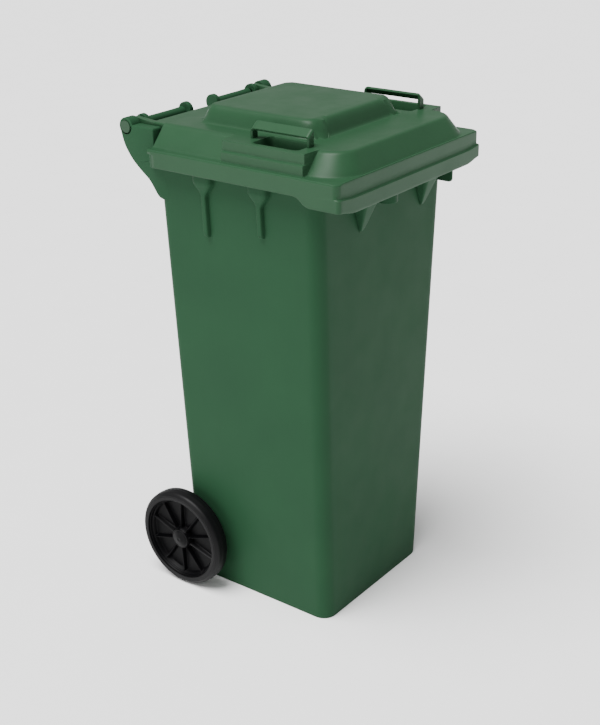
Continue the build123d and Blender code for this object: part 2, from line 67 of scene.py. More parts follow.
# Sizes read from the frame
LID_LOW, LID_HIGH = limits("lid")
COLLAR_HALF = limits("container")[1][0]
TYRE_LOW, TYRE_HIGH = limits("right_tyre")
PIN_LOW, PIN_HIGH = limits("right_lid_pin")
LID_HALF = LID_HIGH[0]
FRONT = LID_LOW[1]
REAR = FRONT + 500.0
SKIRT_FOOT = LID_LOW[2]
PLATEAU_TOP = LID_HIGH[2]
HINGE_Y = (PIN_LOW[1] + PIN_HIGH[1]) / 2
HINGE_Z = (PIN_LOW[2] + PIN_HIGH[2]) / 2
AXLE_Y = (TYRE_LOW[1] + TYRE_HIGH[1]) / 2
AXLE_Z = (TYRE_LOW[2] + TYRE_HIGH[2]) / 2
WHEEL_RADIUS = (TYRE_HIGH[2] - TYRE_LOW[2]) / 2
WHEEL_MID = (TYRE_LOW[0] + TYRE_HIGH[0]) / 2

# Container sizes
PLATEAU_RISE = 78.0
RIM = PLATEAU_TOP - PLATEAU_RISE
WALL = 3.5
FLOOR_TOP = 12.0
FOOT_RECESS = 7.0
FOOT_RIM = 24.0
COLLAR_WALL = 4.0
COLLAR_FOOT = RIM - 24.0
LIP_DROP = 10.0
FOOT_HALF, TOP_HALF = 162.0, 201.0
FOOT_FRONT, TOP_FRONT = FRONT + 75.0, FRONT + 60.5
SHOULDER_Y = HINGE_Y - 70.0
FOOT_REAR, TOP_REAR = SHOULDER_Y - 8.7, SHOULDER_Y + 0.3
FRONT_CORNER, REAR_CORNER = 27.0, 16.0
COLLAR_CORNER = 30.0
COLLAR_FRONT, COLLAR_REAR = FRONT + 12.5, TOP_REAR + 12.0
WING_INNER = TOP_HALF - 23.0
BRACKET_INNER, BRACKET_OUTER, BRACKET_WIDTH = 34.0, 150.0, 10.0
BOSS_RADIUS = 16.0
HANDLE_Y, HANDLE_Z = REAR - 10.5, HINGE_Z - 4.0
NEST_X, NEST_Y = -36.0, FRONT + 32.0
BAY_FRONT = AXLE_Y - 38.0
BAY_ROOF = AXLE_Z + 34.0
BAY_RISE = 26.0
BAY_PITCH = BAY_RISE / (REAR - BAY_FRONT)
BAY_EDGES = (-47.5, 47.5), (52.5, 148.5), (-148.5, -52.5)
SIDE_RIBS = (53.0, 137.0), (-70.0, 117.0)
GUSSET_PLACES = -72.0, 122.0

# Lid sizes
LEDGE = RIM + 11.0
DOME = RIM + 48.0
SKIRT_FRONT = FRONT + 4.0
SIDE_SKIRT_FOOT = RIM - 21.0
SKIRT_CORNER_RISE = 7.0
FASCIA_PROUD = 4.0
LID_CORNER = 12.0
DOME_SIDE_END = FRONT + 70.0
DOME_FOOT_HALF = LID_HALF - 15.0
DOME_TOP_HALF = LID_HALF - 48.0
DOME_FOOT_FRONT = FRONT + 8.0
DOME_TOP_FRONT = FRONT + 28.0
SHOULDER_RISE = 37.0
GRIP_FRONT, GRIP_REAR = FRONT + 77.0, FRONT + 253.0
HOLLOW_FRONT, HOLLOW_REAR = FRONT + 101.0, FRONT + 197.0
HOLLOW_INNER, HOLLOW_OUTER = 142.0, 198.0
HOLLOW_DEPTH = 22.0
STRAP_X, STRAP_TILT = 168.0, 38.0
STRAP_FRONT, STRAP_REAR = FRONT + 94.0, FRONT + 219.0
TONGUE_HALF = 175.0
TONGUE_REAR = SHOULDER_Y + 30.0

# Wheel sizes
RIM_BORE, RIM_RADIUS = 13.2, 84.0
HUB_RISE, HUB_RADIUS = 14.0, 22.0
RIB_COUNT = 10


# Shapes

def smooth_step(low, high, value):
    """0 below low, 1 above high, and 3t2 - 2t3 of the share t between them."""
    t = np.clip((value - low) / (high - low), 0.0, 1.0)
    return t * t * (3.0 - 2.0 * t)


def soft_min(a, b, radius):
    """The lesser of a and b, with the corner between them rounded over radius by a parabola."""
    h = np.clip(0.5 + 0.5 * (b - a) / radius, 0.0, 1.0)
    return b + (a - b) * h - radius * h * (1.0 - h)


def soft_max(a, b, radius):
    """The greater of a and b, rounded in the same way."""
    return -soft_min(-np.asarray(a), -np.asarray(b), radius)


def round_corners(points, sizes, steps=5, spacing=14.0):
    """Path through points whose corners are replaced by parabolas that start one size before the
    corner and end one size after it. Straight stretches are cut to at most spacing, with an extra
    point close to each corner."""
    points = np.asarray(points, float)
    lengths = np.linalg.norm(np.diff(points, axis=0), axis=1)
    starts, ends = [points[0]], []
    arcs = []
    for i in range(1, len(points) - 1):
        back = min(sizes[i], 0.46 * lengths[i - 1], 0.46 * lengths[i])
        before = points[i] + (points[i - 1] - points[i]) * back / lengths[i - 1]
        after = points[i] + (points[i + 1] - points[i]) * back / lengths[i]
        t = np.linspace(0, 1, steps + 1)[:, None] if back > 0 else np.zeros((1, 1))
        arcs.append((1 - t) ** 2 * before + 2 * t * (1 - t) * points[i] + t ** 2 * after)
        ends.append(before)
        starts.append(after)
    ends.append(points[-1])
    out = []
    for i, (a, b) in enumerate(zip(starts, ends)):
        length = np.linalg.norm(b - a)
        count = max(1, int(math.ceil(length / spacing)))
        share = list(np.linspace(0, 1, count + 1))
        if length > 6.0:
            share = sorted(set(share + [1.2 / length, 1 - 1.2 / length]))
        share = np.array(share)[:, None]
        straight = a + (b - a) * share
        out.append(straight[:-1] if i < len(arcs) else straight)
        if i < len(arcs):
            out.append(arcs[i][:-1] if len(arcs[i]) > 1 else arcs[i][:0])
    return np.concatenate(out)


def closed_outline(corners, size, steps=5, spacing=10.0):
    """Closed outline in a plane, each corner rounded by size as round_corners does."""
    corners = np.asarray(corners, float)
    middle = (corners[0] + corners[-1]) / 2
    loop = np.vstack([middle, corners, middle])
    sizes = [0] + (list(size) if np.ndim(size) else [size] * len(corners)) + [0]
    return round_corners(loop, sizes, steps, spacing)[:-1]


def inset(outline, distance):
    """Closed outline moved inwards: each point goes along the normal of the line that joins its
    two neighbours."""
    along = np.roll(outline, -1, 0) - np.roll(outline, 1, 0)
    along /= np.linalg.norm(along, axis=1)[:, None]
    area = np.sum(outline[:, 0] * np.roll(outline[:, 1], -1) - np.roll(outline[:, 0], -1) * outline[:, 1])
    normal = np.stack([-along[:, 1], along[:, 0]], 1) * np.sign(area)
    return outline + normal * distance


def rounded_distance(x, y, x_range, y_range, corner):
    """How far (x, y) lies inside a rounded rectangle, negative outside it."""
    half = (x_range[1] - x_range[0]) / 2 - corner, (y_range[1] - y_range[0]) / 2 - corner
    dx = np.abs(x - sum(x_range) / 2) - half[0]
    dy = np.abs(y - sum(y_range) / 2) - half[1]
    outside = np.hypot(np.maximum(dx, 0), np.maximum(dy, 0))
    return corner - outside - np.minimum(np.maximum(dx, dy), 0)


def plan_ring(half, front, rear, near, far, side_count, front_count, corner_count=12):
    """Closed rectangle in plan with corner radius near at the front and far at the rear, as arrays
    x and y, from the middle of the rear anticlockwise seen from above. Stations may be arrays of
    any shape; the ring is the last axis."""
    half, front, rear, near, far = [np.asarray(v, float)[..., None] for v in (half, front, rear, near, far)]
    along = np.linspace(-1, 1, front_count)[1:-1]
    up = np.linspace(0, 1, side_count)[1:-1]
    turn = np.linspace(0, math.pi / 2, corner_count)
    wide_front, wide_rear, deep = half - near, half - far, rear - far - front - near
    parts = [
        (-wide_rear * along, rear + 0 * wide_rear * along),
        (-wide_rear - far * np.sin(turn), rear - far + far * np.cos(turn)),
        (-half + 0 * deep * up, rear - far - deep * up),
        (-wide_front - near * np.cos(turn), front + near - near * np.sin(turn)),
        (wide_front * along, front + 0 * wide_front * along),
        (wide_front + near * np.sin(turn), front + near - near * np.cos(turn)),
        (half + 0 * deep * up, front + near + deep * up),
        (wide_rear + far * np.cos(turn), rear - far + far * np.sin(turn)),
    ]
    return np.concatenate([p[0] for p in parts], -1), np.concatenate([p[1] for p in parts], -1)


def smooth(mesh, angle):
    """Smooth shading, with edges sharper than angle left hard."""
    mesh.polygons.foreach_set("use_smooth", np.ones(len(mesh.polygons), bool))
    mesh.set_sharp_from_angle(angle=math.radians(angle))


def grid_mesh(name, grids, closed=True):
    """Mesh of grids of points in millimetres. Each grid is (points, wrap rows, wrap columns, caps),
    where points has rows, columns and x, y, z. A cap is an n-gon on the first or last row. Doubles
    are merged, and a closed mesh whose volume is negative is turned inside out."""
    vertices, faces, caps, base = [], [], [], 0
    for points, wrap_rows, wrap_columns, ends in grids:
        rows, columns = points.shape[:2]
        index = np.arange(rows * columns).reshape(rows, columns) + base
        across = np.hstack([index, index[:, :1]]) if wrap_columns else index
        down = np.vstack([across, across[:1]]) if wrap_rows else across
        quads = np.stack([down[:-1, :-1], down[:-1, 1:], down[1:, 1:], down[1:, :-1]], -1)
        faces.append(quads.reshape(-1, 4))
        if "first" in ends:
            caps.append(index[0][::-1].tolist())
        if "last" in ends:
            caps.append(index[-1].tolist())
        vertices.append(points.reshape(-1, 3) * MM)
        base += rows * columns
    mesh = bpy.data.meshes.new(name)
    mesh.from_pydata(np.concatenate(vertices).tolist(), [], np.concatenate(faces).tolist() + caps)
    work = bmesh.new()
    work.from_mesh(mesh)
    bmesh.ops.remove_doubles(work, verts=work.verts, dist=2e-6)
    bmesh.ops.dissolve_degenerate(work, edges=work.edges, dist=1e-6)
    if closed and work.calc_volume(signed=True) < 0:
        bmesh.ops.reverse_faces(work, faces=work.faces)
    work.to_mesh(mesh)
    work.free()
    return mesh


def make_piece(name, grids, body, material, replaces=(), angle=SHARP_ANGLE, thickness=0.0):
    """One object from grids, which rides on body and stands for the nodes it replaces. With a
    thickness, the grids are an open skin that gets a wall on its inside."""
    mesh = grid_mesh(name, grids, closed=thickness == 0.0)
    smooth(mesh, angle)
    piece = bpy.data.objects.new(name, mesh)
    bpy.context.scene.collection.objects.link(piece)
    mesh.materials.append(material)
    if thickness:
        wall = piece.modifiers.new("wall", "SOLIDIFY")
        wall.thickness = thickness * MM
        wall.offset = -1.0
    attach(piece, body)
    if replaces:
        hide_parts(*replaces)
    return piece


def turned(profile, centre, steps, side=1.0, upright=False):
    """Closed profile of (place along the axis, radius) turned about an axis along X, or along Z if
    upright, through centre. A point is at centre + place along the axis + radius times (cos, sin)
    across it."""
    turn = np.linspace(0, 2 * math.pi, steps, endpoint=False)[:, None]
    place, radius = np.asarray(profile, float).T
    place = place[None, :] + 0 * turn
    first, second = radius[None, :] * np.cos(turn), radius[None, :] * np.sin(turn)
    stack = [centre[0] + side * place, centre[1] + first, centre[2] + second]
    if upright:
        stack = [centre[0] + first, centre[1] + second, centre[2] + place]
    return np.stack(stack, -1), True, True, ()


def plate(outline, x_from, x_to, edge=1.6):
    """Outline in Y and Z carried along X, with its long edges rounded: near each face the outline
    is drawn in by 1 - cos while it advances by sin of the same angle."""
    turn = np.linspace(0, math.pi / 2, 4)
    drawn = list(edge * (1 - np.sin(turn)))
    places = list(x_from + edge * (1 - np.cos(turn)))
    drawn = drawn + drawn[::-1]
    places = places + [x_from + x_to - p for p in places[::-1]]
    rings = []
    for distance, x in zip(drawn, places):
        flat = inset(outline, distance)
        rings.append(np.column_stack([np.full(len(flat), x), flat]))
    return np.array(rings), False, True, ("first", "last")


def mirrored(grid, side):
    """A right-hand grid, or its mirror image for the left."""
    points = grid[0] * np.array([side, 1.0, 1.0])
    return (points,) + tuple(grid[1:])


# Colours and materials

def colour(code):
    """sRGB hex as linear RGBA."""
    channels = [int(code[i:i + 2], 16) / 255 for i in (1, 3, 5)]
    return [c / 12.92 if c <= 0.04045 else ((c + 0.055) / 1.055) ** 2.4 for c in channels] + [1.0]


def add(tree, kind, inputs=None, **settings):
    """One shader node with its settings, its socket values and the sockets that feed it."""
    made = tree.nodes.new("ShaderNode" + kind)
    for name, value in settings.items():
        setattr(made, name, value)
    for socket, value in (inputs or {}).items():
        if isinstance(value, bpy.types.NodeSocket):
            tree.links.new(value, made.inputs[socket])
        else:
            made.inputs[socket].default_value = value
    return made


def per_metre(size_mm):
    """Noise scale whose cells are about size_mm wide."""
    return 1000.0 / size_mm


def moulded_plastic(name, shade, light, roughness, grain_mm, grain_depth, streaks=0.0, specular=0.5):
    """Injection moulded polymer. The tone drifts slowly across the part, flow marks run up the
    wall, and the tool's spark-eroded grain breaks up the gloss."""
    material = bpy.data.materials.new(name)
    material.use_nodes = True
    tree = material.node_tree
    shader = tree.nodes["Principled BSDF"]
    place = add(tree, "TexCoord").outputs["Object"]
    drift = add(tree, "TexNoise", {"Vector": place, "Scale": per_metre(170), "Detail": 3.0})
    stretched = add(tree, "Mapping", {"Vector": place, "Scale": (1.0, 1.0, 0.08)})
    flow = add(tree, "TexNoise", {"Vector": stretched.outputs[0], "Scale": per_metre(9), "Detail": 4.0})
    tone = add(
        tree, "MixRGB",
        {"Fac": drift.outputs["Fac"], "Color1": colour(shade), "Color2": colour(light)},
    )
    flowed = add(
        tree, "MixRGB",
        {"Fac": streaks, "Color1": tone.outputs[0], "Color2": flow.outputs["Fac"]},
        blend_type="OVERLAY",
    )
    tree.links.new(flowed.outputs[0], shader.inputs["Base Color"])
    haze = add(tree, "TexNoise", {"Vector": place, "Scale": per_metre(55), "Detail": 5.0})
    rough = add(
        tree, "MapRange",
        {"Value": haze.outputs["Fac"], "From Min": 0.3, "From Max": 0.7,
         "To Min": roughness - 0.05, "To Max": roughness + 0.06},
    )
    tree.links.new(rough.outputs[0], shader.inputs["Roughness"])
    grain = add(tree, "TexNoise", {"Vector": place, "Scale": per_metre(grain_mm), "Detail": 2.0})
    wave = add(tree, "TexNoise", {"Vector": stretched.outputs[0], "Scale": per_metre(40), "Detail": 1.0})
    coarse = add(tree, "Bump", {"Height": wave.outputs["Fac"], "Strength": 0.25, "Distance": 0.0006})
    bump = add(
        tree, "Bump",
        {"Height": grain.outputs["Fac"], "Strength": 0.5, "Distance": grain_depth * MM,
         "Normal": coarse.outputs[0]},
    )
    tree.links.new(bump.outputs[0], shader.inputs["Normal"])
    shader.inputs["IOR"].default_value = 1.5
    shader.inputs["Specular IOR Level"].default_value = specular
    return material


def metal(name, shade, light, roughness, brush_mm, turned_finish=True):
    """Steel with zinc plating or bare wire. Fine drawn lines round the rod spread its highlight,
    and the plating's tone clouds a little."""
    material = bpy.data.materials.new(name)
    material.use_nodes = True
    tree = material.node_tree
    shader = tree.nodes["Principled BSDF"]
    place = add(tree, "TexCoord").outputs["Object"]
    stretch = (1.0, 0.05, 0.05) if turned_finish else (1.0, 1.0, 1.0)
    lines = add(tree, "Mapping", {"Vector": place, "Scale": stretch})
    brushed = add(tree, "TexNoise", {"Vector": lines.outputs[0], "Scale": per_metre(brush_mm), "Detail": 3.0})
    cloud = add(tree, "TexNoise", {"Vector": place, "Scale": per_metre(14), "Detail": 4.0})
    tone = add(
        tree, "MixRGB",
        {"Fac": cloud.outputs["Fac"], "Color1": colour(shade), "Color2": colour(light)},
    )
    tree.links.new(tone.outputs[0], shader.inputs["Base Color"])
    rough = add(
        tree, "MapRange",
        {"Value": brushed.outputs["Fac"], "From Min": 0.3, "From Max": 0.7,
         "To Min": roughness - 0.08, "To Max": roughness + 0.08},
    )
    tree.links.new(rough.outputs[0], shader.inputs["Roughness"])
    bump = add(tree, "Bump", {"Height": brushed.outputs["Fac"], "Strength": 0.3, "Distance": 0.00004})
    tree.links.new(bump.outputs[0], shader.inputs["Normal"])
    shader.inputs["Metallic"].default_value = 1.0
    return material


# Container and lid: satin green high-density polyethylene, injection moulded in a spark-eroded tool
green_hdpe = moulded_plastic(
    "moulded_green_hdpe", "#203e2a", "#25462f", 0.44, 1.6, 0.10, streaks=0.02, specular=0.04)
lid_hdpe = moulded_plastic(
    "moulded_green_hdpe_lid", "#213f2a", "#274930", 0.36, 1.6, 0.07, streaks=0.02, specular=0.12)
# Tyre: moulded black rubber, dull with a grey bloom
tyre_rubber = moulded_plastic(
    "moulded_black_rubber", "#050506", "#09090a", 0.50, 2.2, 0.12, specular=0.15)
# Rim and cap: moulded black polypropylene, a little glossier
rim_plastic = moulded_plastic(
    "moulded_black_polypropylene", "#020203", "#040405", 0.42, 1.8, 0.06, specular=0.08)
cap_plastic = moulded_plastic(
    "moulded_black_cap_polypropylene", "#020203", "#040405", 0.36, 1.4, 0.04, specular=0.08)
buffer_rubber = moulded_plastic("moulded_buffer_rubber", "#141414", "#1e1e1e", 0.55, 2.0, 0.10)
pin_plastic = moulded_plastic(
    "moulded_pin_acetal_green", "#1c3825", "#213f29", 0.34, 1.2, 0.04, specular=0.2)
plug_plastic = moulded_plastic(
    "moulded_plug_polyethylene", "#183020", "#1c3725", 0.40, 1.4, 0.06, specular=0.2)
bush_nylon = moulded_plastic("moulded_natural_nylon", "#c9c4b4", "#d8d3c4", 0.38, 1.4, 0.04)
axle_steel = metal("zinc_plated_drawn_steel", "#a3a7ab", "#b9bdc0", 0.34, 0.6)
spring_steel = metal("spring_steel_wire", "#6f7276", "#84878a", 0.30, 0.5, False)


# Container

def at_height(low, high, z):
    """Value that runs straight from low at the floor to high at the rim."""
    return low + (high - low) * np.asarray(z, float) / RIM


def wall_station(z, depth):
    """Half width, front, rear, both corner radii and height of the wall, depth inside its face."""
    return [
        at_height(FOOT_HALF, TOP_HALF, z) - depth,
        at_height(FOOT_FRONT, TOP_FRONT, z) + depth,
        at_height(FOOT_REAR, TOP_REAR, z) - depth,
        FRONT_CORNER - depth,
        REAR_CORNER - depth,
        z,
    ]


def container_shell():
    """Tub and rim collar as one closed surface: rounded rectangles in plan, whose half width,
    front, rear, corner and height follow a rounded path from under the foot, up the outside, round
    the collar and down the inside to the floor. The collar's foot drops to a lip in front, by
    smooth steps of y and x. Inside, y is held in front of the axle bay."""
    collar = COLLAR_HALF, COLLAR_FRONT, COLLAR_REAR, COLLAR_CORNER, REAR_CORNER
    inner_collar = [COLLAR_HALF - COLLAR_WALL, COLLAR_FRONT + COLLAR_WALL,
                    COLLAR_REAR - COLLAR_WALL, COLLAR_CORNER - COLLAR_WALL, REAR_CORNER - COLLAR_WALL]
    recess = [FOOT_HALF - FOOT_RIM, FOOT_FRONT + FOOT_RIM, BAY_FRONT - FOOT_RIM, 20, 20]
    middle_y = (recess[1] + recess[2]) / 2
    middle = [6, middle_y - 6, middle_y + 6, 3, 3]
    roof = BAY_ROOF + WALL
    stations = [
        (middle + [FOOT_RECESS], 0),
        (recess + [FOOT_RECESS], 2),
        (recess + [0], 2),
        (wall_station(0, 0), 5),
        (wall_station(RIM - COLLAR_WALL, 0), 4),
        (inner_collar + [RIM - COLLAR_WALL], 2),
        (inner_collar + [COLLAR_FOOT], 1.4),
        (list(collar) + [COLLAR_FOOT], 1.4),
        (list(collar) + [RIM], 3),
        (wall_station(RIM, WALL), 2.5),
        (wall_station(roof + 14, WALL), 0),
        (wall_station(roof + 9, WALL), 0),
        (wall_station(roof, WALL), 0),
        (wall_station(roof - 2, WALL), 0),
        (wall_station(FLOOR_TOP, WALL), 4),
        (middle + [FLOOR_TOP], 0),
    ]
    path = round_corners([s for s, _ in stations], [r for _, r in stations], 5, 26.0)
    half, front, rear, near, far, z = path.T
    x, y = plan_ring(half, front, rear, near, far, 40, 40)
    z = z[:, None] + 0 * x
    lip = (z < COLLAR_FOOT + 4) & (z > COLLAR_FOOT - 1) & (np.abs(half - COLLAR_HALF + 2)[:, None] < 3)
    in_front = smooth_step(COLLAR_FRONT + 6, COLLAR_FRONT + 4.5, y) * smooth_step(184, 180, np.abs(x))
    z = z - LIP_DROP * in_front * lip
    inside = (np.arange(len(path)) > np.argmax(path[:, 5] >= RIM - 1e-6))[:, None]
    hold = BAY_FRONT - WALL + np.maximum(z - roof, 0) / BAY_PITCH
    y = np.where(inside, np.minimum(y, hold), y)
    return np.stack([x, y, z], -1), False, True, ("first", "last")


def bay_grid(x_from, x_to):
    """Side view of one axle bay carried along X."""
    below, behind = -5, REAR + 10
    outline = [
        (BAY_FRONT, below),
        (BAY_FRONT, BAY_ROOF),
        (behind, BAY_ROOF + (behind - BAY_FRONT) * BAY_PITCH),
        (behind, below),
    ]
    return plate(closed_outline(outline, 1.0, 3, 400), x_from, x_to, 0.3)


def cut_bays(piece, edges):
    """Take the axle bays out of piece, one by one."""
    for x_from, x_to in edges:
        cutter = bpy.data.objects.new("bay_cut", grid_mesh("bay_cut", [bay_grid(x_from, x_to)]))
        bpy.context.scene.collection.objects.link(cutter)
        cut = piece.modifiers.new("bay", "BOOLEAN")
        cut.object = cutter
        cut.operation = "DIFFERENCE"
        cut.solver = "EXACT"
        bpy.context.view_layer.update()
        evaluated = piece.evaluated_get(bpy.context.evaluated_depsgraph_get())
        result = bpy.data.meshes.new_from_object(evaluated)
        piece.modifiers.clear()
        piece.data = result
        bpy.data.objects.remove(cutter)
    smooth(piece.data, SHARP_ANGLE)


def raised(low, high, wall_at, half_at, proud_at, place, turned_to_front, corner=0.42):
    """Closed rib on a wall: at each height its section is a rounded trapezium of half_at wide and
    proud_at out from wall_at, sunk a little into the wall. The foot tapers as a quarter ellipse."""
    heights = np.concatenate([low + (high - low) * (1 - np.cos(np.linspace(0, math.pi / 2, 14))) * 0.25,
                              np.linspace(low + (high - low) * 0.25, high, 34)[1:]])
    section = closed_outline(
        [(-1.16, -0.35), (-0.98, 0.0), (-0.82, 1.0), (0.82, 1.0), (0.98, 0.0), (1.16, -0.35)],
        [0.02, 0.1, corner, corner, 0.1, 0.02], 6, 0.3)
    rows = []
    for z in heights:
        end = math.sqrt(max(0.0, 1 - max(0.0, 1 - (z - low) / 9.0) ** 2))
        half, proud = half_at(z) * (0.35 + 0.65 * end), proud_at(z) * end
        across = place + section[:, 0] * half
        out = wall_at(z) + np.where(section[:, 1] > 0, section[:, 1] * proud, section[:, 1] * 6.0)
        column = [out, across] if not turned_to_front else [across, out]
        rows.append(np.column_stack(column + [np.full(len(section), z)]))
    return np.array(rows), False, True, ("first", "last")


def side_rib(place, drop):
    """Rib under the collar on the right wall, which flares at its head."""
    def half_at(z):
        """Half width, which grows by a smooth step of z at the head."""
        return 6.0 + 17.0 * smooth_step(COLLAR_FOOT - 38, COLLAR_FOOT - 10, z)

    def proud_at(z):
        """How far out, which a smooth step of z takes to just inside the collar's face."""
        head = smooth_step(COLLAR_FOOT - 30, COLLAR_FOOT - 8, z)
        return 9.0 + head * (COLLAR_HALF - 1.5 - at_height(FOOT_HALF, TOP_HALF, z) - 9.0)

    return raised(RIM - drop, COLLAR_FOOT + 10, lambda z: at_height(FOOT_HALF, TOP_HALF, z),
                  half_at, proud_at, place, False)


def front_gusset(place):
    """Wedge between the front wall and the rim."""
    foot = RIM - 116

    def half_at(z):
        """Half width, which grows in proportion to the height above the foot up to a limit."""
        return 4.0 + 19.0 * min(1.0, (z - foot) / 52.0)

    def proud_at(z):
        """How far out, grown in the same way, and negative because out is towards -Y."""
        return -(3.0 + 31.0 * min(1.0, (z - foot) / 82.0))

    return raised(foot, RIM - 5, lambda z: at_height(FOOT_FRONT, TOP_FRONT, z),
                  half_at, proud_at, place, True, 0.3)


def wing_grid(side):
    """Rear wing: the outline of its side view carried along X with rounded edges, and a pocket
    sunk into its inner face. In front, its outer face sinks into the wall by a smooth step of y."""
    outline = closed_outline([
        (SHOULDER_Y - 44, RIM - 85), (SHOULDER_Y - 12, RIM - 85), (SHOULDER_Y - 1, RIM - 81),
        (SHOULDER_Y + 8, RIM - 69), (SHOULDER_Y + 19, RIM - 53), (SHOULDER_Y + 42, RIM - 36),
        (SHOULDER_Y + 60, RIM - 20), (HINGE_Y + 7, RIM + 4), (HINGE_Y + 15, HINGE_Z - 4),
        (HINGE_Y + 4, HINGE_Z + 4), (SHOULDER_Y + 4, HINGE_Z + 4), (SHOULDER_Y + 4, RIM - 1),
        (SHOULDER_Y - 44, RIM - 1),
    ], [3, 8, 8, 8, 12, 14, 12, 14, 6, 4, 4, 1, 1], 4, 9.0)
    solid = plate(outline, WING_INNER, TOP_HALF, 2.0)[0]
    sunk = TOP_HALF - at_height(FOOT_HALF, TOP_HALF, solid[..., 2]) + 2.5
    outer = solid[..., 0] > WING_INNER + 5
    solid[..., 0] -= sunk * outer * smooth_step(SHOULDER_Y + 2, SHOULDER_Y - 42, solid[..., 1])
    pocket = outline.copy()
    near, middle, far = TOP_REAR + 6, TOP_REAR + 34, HINGE_Y - 19
    pocket[:, 0] = np.clip(pocket[:, 0], near, far)
    foot = np.interp(pocket[:, 0], [near, middle, far], [RIM - 50, RIM - 32, RIM - 8])
    pocket[:, 1] = np.clip(pocket[:, 1], foot, HINGE_Z - 2)
    rings = [np.column_stack([np.full(len(pocket), x), pocket]) for x in (TOP_HALF - 4, WING_INNER + 0.01)]
    grid = np.concatenate([np.array(rings), solid])
    return mirrored((grid, False, True, ("first", "last")), side)


def boss_grid(side):
    """Round boss of the wing, a profile turned about the hinge line, with the counterbore of the
    pin's head."""
    profile = closed_outline([
        (WING_INNER, 6.2), (WING_INNER, BOSS_RADIUS), (TOP_HALF, BOSS_RADIUS), (TOP_HALF, 11.3),
        (TOP_HALF - 3.4, 11.3), (TOP_HALF - 3.4, 6.2)], [0.2, 2.2, 2.2, 0.6, 0.2, 0.2], 4, 8)
    return turned(profile, (0, HINGE_Y, HINGE_Z), 72, side)


def bracket_arm(x_from, side):
    """Arm from the rear wall up to the hinge line, an outline carried along X."""
    outline = closed_outline([
        (TOP_REAR - WALL, RIM - 62), (COLLAR_REAR, RIM - 46), (HINGE_Y - 14, HINGE_Z - 26),
        (HINGE_Y, HINGE_Z - 15), (HINGE_Y, HINGE_Z), (HINGE_Y - 15, HINGE_Z - 2),
        (HINGE_Y - 18, HINGE_Z - 22), (COLLAR_REAR, RIM - 1), (TOP_REAR - WALL, RIM - 1),
    ], [1, 10, 8, 4, 3, 3, 10, 3, 1], 4, 10.0)
    return mirrored(plate(outline, x_from, x_from + BRACKET_WIDTH, 1.5), side)


def bracket_eye(x_from, side):
    """Round eye at the end of a bracket's arm, turned about the hinge line."""
    x_to = x_from + BRACKET_WIDTH
    eye = closed_outline([(x_from, 0.5), (x_from, 15), (x_to, 15), (x_to, 0.5)], [0.2, 1.8, 1.8, 0.2], 4, 8)
    return turned(eye, (0, HINGE_Y, HINGE_Z), 60, side)


def handle_grid(side):
    """Grip bar between its brackets: its radius grows with the fourth power of the distance from
    its middle."""
    middle, half = 97.0, 53.5
    x = np.linspace(middle - half, middle + half, 28)
    radius = 9.7 + 0.7 * ((x - middle) / half) ** 4
    profile = np.vstack([[x[0], 0.5], np.column_stack([x, radius]), [x[-1], 0.5]])
    return turned(profile, (0, HANDLE_Y, HANDLE_Z), 48, side)


def chip_nest():
    """Round boss under the front rim, a profile turned about an upright axis, closed on top and
    bored from below."""
    foot, top = RIM - 65, RIM - 2
    roof = foot + 28
    profile = closed_outline(
        [(foot, 15), (foot, 18), (top, 18.6), (top, 0.3), (roof, 0.3), (roof, 15)],
        [0.8, 1.4, 0.5, 0.1, 0.1, 1.5], 4, 8)
    return turned(profile, (NEST_X, NEST_Y, 0), 60, upright=True)


def corner_web():
    """Thin web under the rim at the right front corner: an outline with a soft lower corner,
    carried along X."""
    outline = closed_outline([
        (TOP_FRONT - 17, RIM - 4), (TOP_FRONT - 17, RIM - 88), (TOP_FRONT + 30, RIM - 88),
        (TOP_FRONT + 45, RIM - 88), (TOP_FRONT + 45, RIM - 4)], [1, 7, 1, 1, 1], 5, 12)
    return plate(outline, TOP_HALF - 6, TOP_HALF, 1.2)


def cheek_boss(side):
    """Raised ring round the axle on the outside of the wheel cheek, a turned profile."""
    face = at_height(FOOT_HALF, TOP_HALF, AXLE_Z)
    profile = closed_outline([(face - 12, 10.1), (face - 12, 20), (face + 3, 20), (face + 3, 10.1)],
                             [0.3, 0.5, 1.5, 0.6], 4, 8)
    return turned(profile, (0, AXLE_Y, AXLE_Z), 60, side)


# Lid

def plateau_height(x, y):
    """Rise of the raised middle: the distance inside its foot outline, times its slope, held at
    its height with soft corners."""
    inside = rounded_distance(x, y, (-135, 135), (FRONT + 112, HINGE_Y - 106), 38)
    rise = (PLATEAU_TOP - DOME) * inside / 14.0
    return soft_min(soft_max(rise, 0.0, 6.0), PLATEAU_TOP - DOME, 12.0)


def pocket_depth(x, y):
    """Depth of the finger hollows, worked out in the same way."""
    inside = rounded_distance(np.abs(x), y, (HOLLOW_INNER, HOLLOW_OUTER), (HOLLOW_FRONT, HOLLOW_REAR), 8)
    return soft_min(soft_max(HOLLOW_DEPTH * inside / 4.0, 0.0, 4.0), HOLLOW_DEPTH, 5.0)


def lid_top(x, y):
    """Height of the lid's top inside the dome's edge."""
    return DOME + plateau_height(x, y) - pocket_depth(x, y)


def spread(start, end, coarse, fine_places, reach=5.0, fine=1.1):
    """Values from start to end in coarse steps, and in fine steps near each of fine_places."""
    values = [start, end]
    values += list(np.linspace(start, end, max(2, int(abs(end - start) / coarse) + 1)))
    for place in fine_places:
        values += [v for v in np.arange(place - reach, place + reach + 0.01, fine)]
    low, high = min(start, end), max(start, end)
    values = sorted(v for v in set(np.round(values, 3)) if low <= v <= high)
    kept = [values[0]]
    for v in values[1:]:
        if v - kept[-1] > 0.55 * fine:
            kept.append(v)
    return np.array(kept if end > start else kept[::-1])


